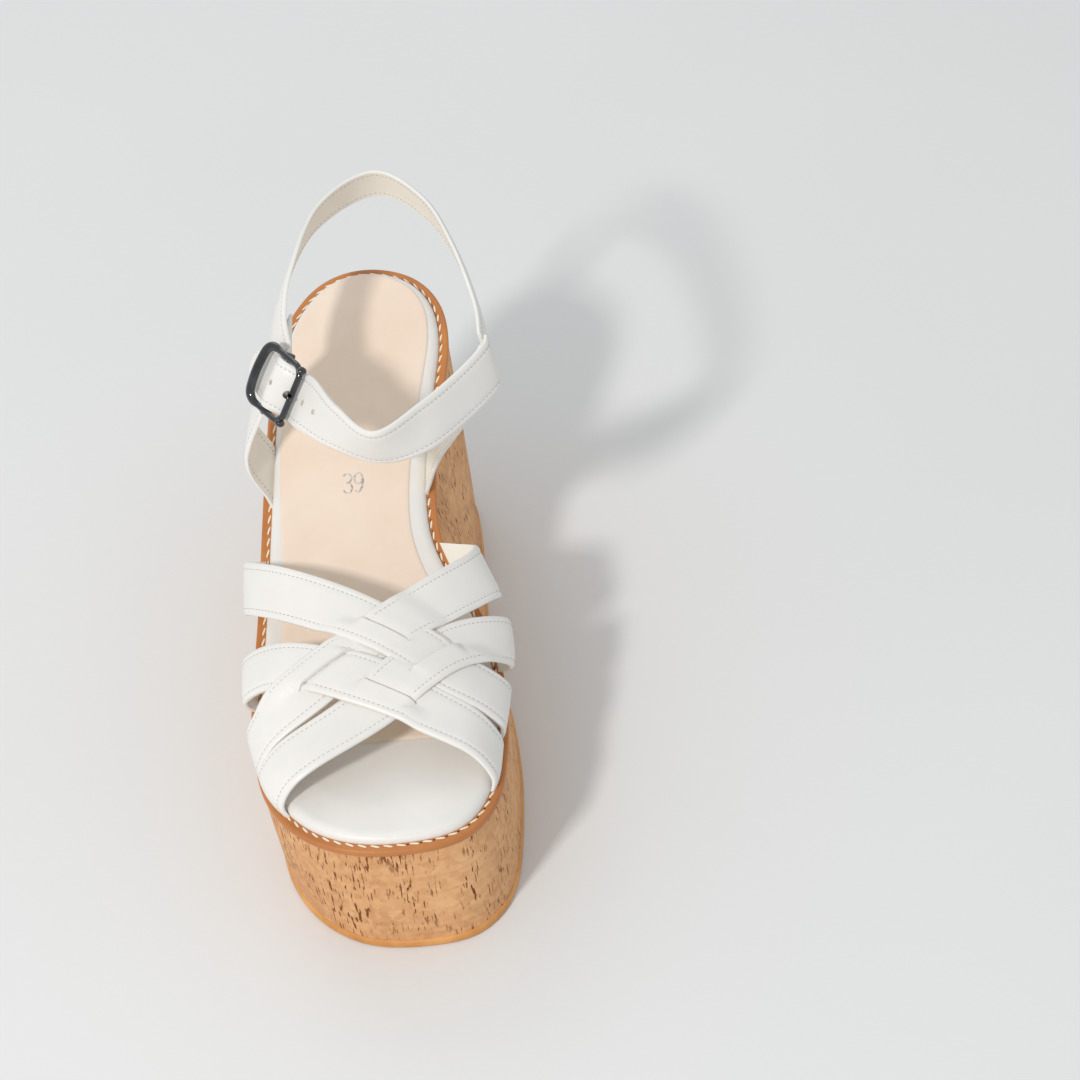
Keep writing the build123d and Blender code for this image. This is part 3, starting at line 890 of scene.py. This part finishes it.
def paint_sides(obj, verts, normals):
    """White outside, lining inside, painted edges, chosen by each face's direction."""
    tree = KDTree(len(normals))
    for i in range(len(normals)):
        tree.insert((verts[i] + SHIFT) * MM, i)
    tree.balance()
    for p in obj.data.polygons:
        if p.material_index == EDGE_SLOT:
            continue
        _, i, _ = tree.find(p.center)
        facing = p.normal.dot(Vector(normals[i]))
        if abs(facing) <= FACE_ON:
            p.material_index = EDGE_SLOT
        else:
            p.material_index = WHITE_SLOT if facing > 0 else LINING_SLOT


# A stitch: rings along it (share of its length, share of its size), each half round.
STITCH_RINGS = [(-0.5, 0.35), (-0.38, 0.85), (-0.15, 1.0), (0.15, 1.0), (0.38, 0.85), (0.5, 0.35)]
STITCH_SIDES = 6
STITCH_SUNK = 0.12
STITCH_LOOK = 0.4    # how far each way a line's direction is read
SEAM = dict(pitch=1.95, length=1.35, width=0.42, height=0.2, slant=0.0)


def stitch(centre, along, up, length, width, height, verts, faces):
    """Adds one small rounded stitch that lies on a surface."""
    side = np.cross(up, along)
    base = len(verts)
    for at, size in STITCH_RINGS:
        for k in range(STITCH_SIDES):
            a = math.pi * k / (STITCH_SIDES - 1)
            verts.append(centre + along * length * at + side * width / 2 * size * math.cos(a)
                         + up * (height * size * math.sin(a) - STITCH_SUNK))
    last = len(STITCH_RINGS) - 1
    for r in range(last):
        for k in range(STITCH_SIDES - 1):
            a = base + r * STITCH_SIDES + k
            faces.append((a, a + 1, a + STITCH_SIDES + 1, a + STITCH_SIDES))
    faces.append(tuple(range(base, base + STITCH_SIDES)))
    faces.append(tuple(base + last * STITCH_SIDES + k for k in range(STITCH_SIDES))[::-1])


def stitch_rows(name, lines, normals, mat, pitch, length, width, height, slant):
    """Stitches along polylines; each polyline has its own normals."""
    verts, faces = [], []
    for line, n in zip(lines, normals):
        run = lengths(line)
        count = int(run[-1] / pitch)
        at = (np.arange(count) + 0.5) * run[-1] / count
        along = unit(resample(line, at + STITCH_LOOK) - resample(line, at - STITCH_LOOK))
        up = resample(n, at, run)
        up = unit(up - along * (up * along).sum(1, keepdims=True))
        leaning = unit(along + np.cross(up, along) * slant)
        for axes in zip(resample(line, at), leaning, up):
            stitch(*axes, length, width, height, verts, faces)
    return solid(name, verts, faces, mat)


SEAM_COLS = [k for k, w in enumerate(WIDE) if abs(w) == 0.75]
SEAM_T = THICK[SEAM_COLS[0]]


def strap_with_stitches(name, base, n, lift, cut=None, inside=False):
    """Strap with a row of stitches along each edge, outside and, if asked, inside too."""
    sheet = build_sheet(name + "_sheet", base, n, lift, cut)
    lines, ups = [], []
    for col in SEAM_COLS:
        level = lift[:, col] + STRAP_T * SEAM_T
        lines.append(base[:, col] + n[:, col] * level[:, None])
        ups.append(n[:, col])
        if inside:
            lines.append(base[:, col] + n[:, col] * lift[:, col][:, None])
            ups.append(-n[:, col])
    thread = stitch_rows(name + "_thread", lines, ups, "thread", **SEAM)
    return join([sheet, thread], name)


def make_vamp():
    straps = {name: Vamp(name) for name in VAMP}
    weave(straps)
    return {name: strap_with_stitches("vamp_" + name, strap.base, strap.n, strap.lift, strap.cut)
            for name, strap in straps.items()}


# -------- ankle straps

def ribbon_grid(stations, rows, bow):
    """Strap surface through stations of (upper, lower) edge points, bowed outward a little,
    and its normals."""
    dense = dense_curve(np.array(stations, float).reshape(-1, 6))
    mid = (dense[:, :3] + dense[:, 3:]) / 2
    run = lengths(mid)
    p = resample(dense, np.linspace(0, run[-1], rows), run)
    u = (WIDE[:, None] + 1) / 2
    grid = p[:, None, :3] * (1 - u) + p[:, None, 3:] * u
    du = np.gradient(grid, axis=0)
    across = (p[:, 3:] - p[:, :3])[:, None, :]
    n = unit(np.cross(du, np.broadcast_to(across, du.shape)))
    n = smooth_rows(n, 4)
    grid = grid + n * (bow * (1 - WIDE[:, None] ** 2))
    return grid, unit(n)


def buckle_point(x, y, z):
    """A point of the buckle's frame: x along the strap, y across it, z out of it."""
    bz = unit(BUCKLE_Z)
    bx = unit(BUCKLE_X - bz * np.dot(BUCKLE_X, bz))
    by = np.cross(bz, bx)
    return BUCKLE_AT + bx * x + by * y + bz * z


def rounded_end(grid, reach=7.5):
    """Draws the sides of a strap in toward its middle over its last few millimetres."""
    middle = grid[:, MID]
    run = lengths(middle)
    left = np.clip((run[-1] - run) / reach, 0, 1)
    narrow = np.maximum(np.sqrt(1 - (1 - left) ** 2), 0.3)
    return middle[:, None] + (grid - middle[:, None]) * narrow[:, None, None]


def flat_strap(name, grid, n):
    return strap_with_stitches(name, grid, n, np.zeros(grid.shape[:2]), inside=True)


def make_ankle():
    back = flat_strap("back_band", *ribbon_grid(BACK_STRAP, 150, 0.25))
    stations = list(FRONT_STRAP)
    for along, out in THROUGH_BUCKLE:
        stations.append((buckle_point(along, -HALF_W, out), buckle_point(along, HALF_W, out)))
    grid, n = ribbon_grid(stations, 170, 0.15)
    return back, flat_strap("front_band", rounded_end(grid), n)


def punch(obj, spots):
    """Cuts round holes through the strap at places in the buckle's plane."""
    turn = Vector(unit(BUCKLE_Z)).to_track_quat("Z", "Y").to_matrix().to_4x4()
    for along in spots:
        bpy.ops.mesh.primitive_cylinder_add(
            vertices=24, radius=HOLE_RADIUS * MM, depth=DRILL_DEPTH * MM)
        drill = bpy.context.object
        at = Vector((buckle_point(along, 0, -3) + SHIFT) * MM)
        drill.matrix_world = Matrix.Translation(at) @ turn
        bpy.context.view_layer.update()
        cut = obj.modifiers.new("hole", "BOOLEAN")
        cut.operation = "DIFFERENCE"
        cut.solver = "EXACT"
        cut.object = drill
        apply_modifiers(obj)
        bpy.data.objects.remove(drill)


QUARTER_ROOT = 7.0    # length that goes down beside the footbed


def make_quarters():
    made = {}
    for name, stations in (("inner_quarter", INNER_QUARTER), ("outer_quarter", OUTER_QUARTER)):
        p = np.array(stations, float)
        root = p[0] - unit(p[1] - p[0]) * QUARTER_ROOT
        grid, n = ribbon_grid(np.concatenate([root[None], p]), 70, 0.1)
        made[name] = flat_strap(name + "_strap", grid, n)
    return made


# -------- buckle

def tube(name, path, radii, mat, up, sides, closed=False, squash=1.0):
    """Round or oval bar along a path. Its radius may vary, and so may its height (towards
    up), as a share of the radius."""
    p = np.asarray(path, float)
    count = len(p)
    if closed:
        t = unit(np.roll(p, -1, axis=0) - np.roll(p, 1, axis=0))
    else:
        t = unit(np.gradient(p, axis=0))
    side = unit(np.cross(t, up))
    over = unit(np.cross(side, t))
    angle = np.linspace(0, 2 * math.pi, sides, endpoint=False)[:, None]
    wide = np.broadcast_to(radii, (count,))
    high = (wide * squash)[:, None, None]
    rings = (p[:, None] + side[:, None] * (wide[:, None, None] * np.cos(angle))
             + over[:, None] * (high * np.sin(angle)))
    faces = grid_faces(count, sides, closed, True)
    if not closed:
        faces += end_faces(count, sides)
    return solid(name, rings.reshape(-1, 3), faces, mat)


def local_path(points, count):
    """Smooth path through points of the buckle's frame."""
    return np.array([buckle_point(*q) for q in even(points, count)])


BUCKLE_HALF_X, BUCKLE_HALF_Y, BUCKLE_CORNER = 10.9, 11.6, 4.2
CORNER_STEPS = 12
RING_STEPS = 160


def make_buckle():
    """Cast frame, thick at the rear, with knobs at the front and a centre bar on two lugs."""
    z_axis, x_axis = unit(BUCKLE_Z), unit(BUCKLE_X)
    ring = []
    for sx, sy, start in ((1, 1, 0), (-1, 1, 90), (-1, -1, 180), (1, -1, 270)):
        for k in range(CORNER_STEPS + 1):
            a = math.radians(start + 90 * k / CORNER_STEPS)
            ring.append((sx * (BUCKLE_HALF_X - BUCKLE_CORNER) + BUCKLE_CORNER * math.cos(a),
                         sy * (BUCKLE_HALF_Y - BUCKLE_CORNER) + BUCKLE_CORNER * math.sin(a)))
    ring = spread(np.array(ring + ring[:1]), RING_STEPS + 1)[:-1]
    rear = np.clip((ring[:, 0] - 4) / 6, 0, 1)
    front = np.clip((-ring[:, 0] - 7) / 3, 0, 1)
    arch = 1.5 * rear * np.cos(np.clip(ring[:, 1] / 12, -1, 1) * math.pi / 2)
    radii = 1.25 + 0.75 * rear + 0.1 * front
    pts = np.array([buckle_point(x, y, z) for (x, y), z in zip(ring, arch)])
    parts = [tube("ring", pts, radii, "chrome", z_axis, 24, True, 0.8 + 0.1 * front)]
    for side in (-1, 1):
        path = local_path([(-BUCKLE_HALF_X, side * y, 0) for y in (9.6, 10.3, 11.6, 12.6)], 14)
        size = 1.9 * np.sqrt(np.clip(1 - np.linspace(-0.98, 0.98, 14) ** 2, 0.02, 1))
        parts.append(tube("knob", path, size, "chrome", z_axis, 20))
    for side in (-1, 1):
        drop = [(11.7, 0.4), (11.75, -1.2), (11.6, BAR_OUT), (11.5, BAR_OUT - 1.0)]
        path = local_path([(0, side * y, z) for y, z in drop], 12)
        parts.append(tube("lug", path, np.linspace(1.5, 1.05, 12), "chrome", x_axis, 16))
    path = local_path([(0, y, BAR_OUT) for y in (-11.4, 0, 11.4)], 9)
    parts.append(tube("bar", path, 1.0, "chrome", z_axis, 20))
    return join(parts, "buckle_body")


PRONG_EYE = 1.55    # radius of the wire's loop round the centre bar


def make_prong():
    """Wire from its loop on the centre bar, through the strap and over the front bar."""
    path = [
        (-0.2, 0, -3.95), (-1.3, 0, -3.4), (-4.6, 0, -3.2), (-7.0, 0, -2.0),
        (-8.3, 0, 0.7), (-10.3, 0, 2.5), (-12.1, 0, 2.5), (-13.3, 0, 1.4),
    ]
    sideways = buckle_point(0, 1, 0) - buckle_point(0, 0, 0)
    share = np.linspace(0, 1, 60)
    radii = np.interp(share, [0, 0.1, 0.75, 0.97, 1.0], [0.7, 0.85, 0.9, 0.65, 0.3])
    wire = tube("wire", local_path(path, 60), radii, "chrome", sideways, 18)
    loop = []
    for a in np.linspace(0, 2 * math.pi, 40, endpoint=False):
        loop.append(buckle_point(PRONG_EYE * math.cos(a), 0, BAR_OUT + PRONG_EYE * math.sin(a)))
    eye = tube("eye", loop, 0.45, "chrome", sideways, 12, True, 2.6)
    return join([wire, eye], "prong_wire")


TAB_LOOP = 1.6      # radius of the leather round the centre bar
TAB_ROWS = 60


def make_tab():
    """Leather loop round the centre bar, drawn in the plane (along the strap, out of it)."""
    loop = [(14, -5.45), (9, -5.4), (4.5, -4.6), (1.3, -1.9)]
    for a in np.radians([60, 100, 140, 180, 220, 260, 300]):
        loop.append((TAB_LOOP * math.cos(a), BAR_OUT + TAB_LOOP * math.sin(a)))
    loop += [(4.5, -5.4), (9, -6.3), (14, -6.35)]
    path = even(loop, TAB_ROWS)
    t = unit(np.gradient(path, axis=0))
    # Half section: (across, half of the thickness there).
    section = [(-9, 0.3), (-8.7, 0.45), (-4, 0.45), (0, 0.45), (4, 0.45), (8.7, 0.45), (9, 0.3)]
    section += [(y, -h) for y, h in section[::-1]]
    verts = []
    for p, q in zip(path, np.stack([-t[:, 1], t[:, 0]], axis=1)):
        for y, h in section:
            verts.append(buckle_point(p[0] + q[0] * h, y, p[1] + q[1] * h))
    cols = len(section)
    faces = grid_faces(TAB_ROWS, cols, False, True) + end_faces(TAB_ROWS, cols)
    return solid("tab_loop", verts, faces, "white")


# -------- welt stitches

STITCH_OUT = 1.35
STITCH_PITCH = 4.7
LOCKSTITCH = dict(pitch=STITCH_PITCH, length=3.5, width=0.78, height=0.4, slant=-0.24)
# The needle holes are small dark bumps that paint the shade inside each hole.
NEEDLE_HOLE = dict(pitch=STITCH_PITCH, length=0.9, width=0.75, height=0.16, slant=0.0)


def make_lockstitches():
    """Slanted stitches along the welt, with a needle hole between each two, drawn as a dark mark
    of painted shade.
    """
    ring = foot_offset(STITCH_OUT)
    closed = np.vstack([ring, ring[:1]])
    line = on_rise(closed, 0.02)
    n = np.tile([0.0, 0.0, 1.0], (len(line), 1))
    slope = np.gradient(RISE_LINE[:, 1], RISE_LINE[:, 0])
    n[:, 1] = -np.interp(line[:, 1], RISE_LINE[:, 0], slope)
    n = unit(n)
    thread = stitch_rows("stitches", [line], [n], "lockstitch", **LOCKSTITCH)
    run = lengths(line)
    moved = resample(line, (run + STITCH_PITCH / 2) % run[-1])
    holes = stitch_rows("holes", [moved[:-2]], [n[:-2]], "hole", **NEEDLE_HOLE)
    return join([thread, holes], "welt_stitches")


def make_welt():
    """Welt strip with a groove for its stitches: (out, up) from the footbed outline."""
    profile = [
        (0.05, -2.7), (0.05, -0.6), (0.25, -0.15), (0.7, 0.0), (1.5, -0.05),
        (2.0, -0.16), (2.5, -0.05), (3.4, 0.0), (3.95, -0.12), (4.2, -0.5),
        (4.25, -1.4), (4.2, -2.3), (4.0, -2.75), (2.5, -2.8),
    ]
    rings = [on_rise(foot_offset(out), up) for out, up in profile]
    faces = grid_faces(len(profile), len(FOOT_RING), True, True)
    return solid("welt_strip", np.vstack(rings), faces, "welt")


# -------- assembly

def place(obj, body, slot, *nodes):
    """Puts a piece on its body and hides the CAD nodes it stands for; slot is not used."""
    if body:
        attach(obj, body)
    if nodes:
        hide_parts(*nodes)
    return obj


place(make_wall(), "sole", "cork", "cork_wrap", "wedge_core", "shank")
place(make_outsole(), "sole", "outsole_rubber", "outsole")
place(make_welt(), "sole", "welt_leather", "welt")
place(make_lockstitches(), "sole", "thread", "welt_thread")
pad = place(
    make_footbed(), "sole", "white_leather", "footbed_cover", "footbed_foam", "insole_board")
place(make_sock(), "sole", "sock_leather", "sock_lining")
place(make_size_mark(), "sole", "sock_leather")    # its foil is pressed into the sock
for name, obj in make_vamp().items():
    nodes = [f"vamp_strap_{name}_{layer}" for layer in ("outer", "lining")]
    place(obj, "sole", "white_leather", *nodes)
back, front = make_ankle()
punch(front, HOLES_AT)
place(back, "ankle", "white_leather", "back_strap_outer", "back_strap_lining")
place(front, "ankle", "white_leather", "front_strap_outer", "front_strap_lining")
place(make_tab(), "ankle", "white_leather", "buckle_tab")
# The quarters run between the footbed and the ankle, so they go on no body.
for name, obj in make_quarters().items():
    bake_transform(obj)
    place(obj, None, "white_leather", name + "_outer", name + "_lining")
place(make_buckle(), "buckle", "chrome", "buckle_frame")
place(make_prong(), "prong", "chrome", "buckle_prong")


# -------- studio

FLOOR_HALF = 4000.0


def make_floor():
    verts = [(x * FLOOR_HALF, y * FLOOR_HALF, 0) for x, y in ((-1, -1), (1, -1), (1, 1), (-1, 1))]
    floor = new_object("studio_floor", verts, [(0, 1, 2, 3)], [MATS["floor"]])


AIM = Vector((0, 0, 0.08))    # where both lights point, in metres


def area_light(name, at, size, power, colour):
    data = bpy.data.lights.new(name, "AREA")
    data.shape = "RECTANGLE"
    data.size = data.size_y = size
    data.energy = power
    data.color = colour
    obj = link_object(name, data)
    obj.location = at
    obj.rotation_euler = (AIM - Vector(at)).to_track_quat("-Z", "Y").to_euler()


CAMERA_AT = (0.11755, -0.8132, 0.8516)
CAMERA_FORWARD = (-0.0497, 0.7237, -0.6883)
CAMERA_AZIMUTH = math.radians(-3.93)
CAMERA_ROLL = math.radians(7.7)
LENS = 98.5


def make_camera():
    """The photograph's view: from above the toe, turned about its own axis by the roll."""
    forward = Vector(CAMERA_FORWARD).normalized()
    right = Vector((math.cos(CAMERA_AZIMUTH), -math.sin(CAMERA_AZIMUTH), 0)).normalized()
    up = right.cross(forward)
    across = right * math.cos(CAMERA_ROLL) - up * math.sin(CAMERA_ROLL)
    upright = right * math.sin(CAMERA_ROLL) + up * math.cos(CAMERA_ROLL)
    cam = bpy.data.cameras.new("camera")
    cam.lens = LENS
    cam.clip_end = 20
    obj = link_object("camera", cam)
    rows = [(across[k], upright[k], -forward[k], CAMERA_AT[k]) for k in range(3)]
    obj.matrix_world = Matrix(rows + [(0, 0, 0, 1)])
    bpy.context.scene.camera = obj


make_floor()
make_camera()
area_light("key", (-0.83, -1.36, 1.5), 0.22, 22, (1.0, 0.975, 0.94))
area_light("back", (-0.5, 1.3, 1.2), 0.9, 3.5, (0.96, 0.98, 1.0))
world = bpy.data.worlds.new("studio")
bpy.context.scene.world = world
world.use_nodes = True
sky = world.node_tree.nodes["Background"].inputs
sky["Color"].default_value = (0.96, 0.985, 1.0, 1)
sky["Strength"].default_value = 0.67
bpy.context.scene.view_settings.view_transform = "Standard"
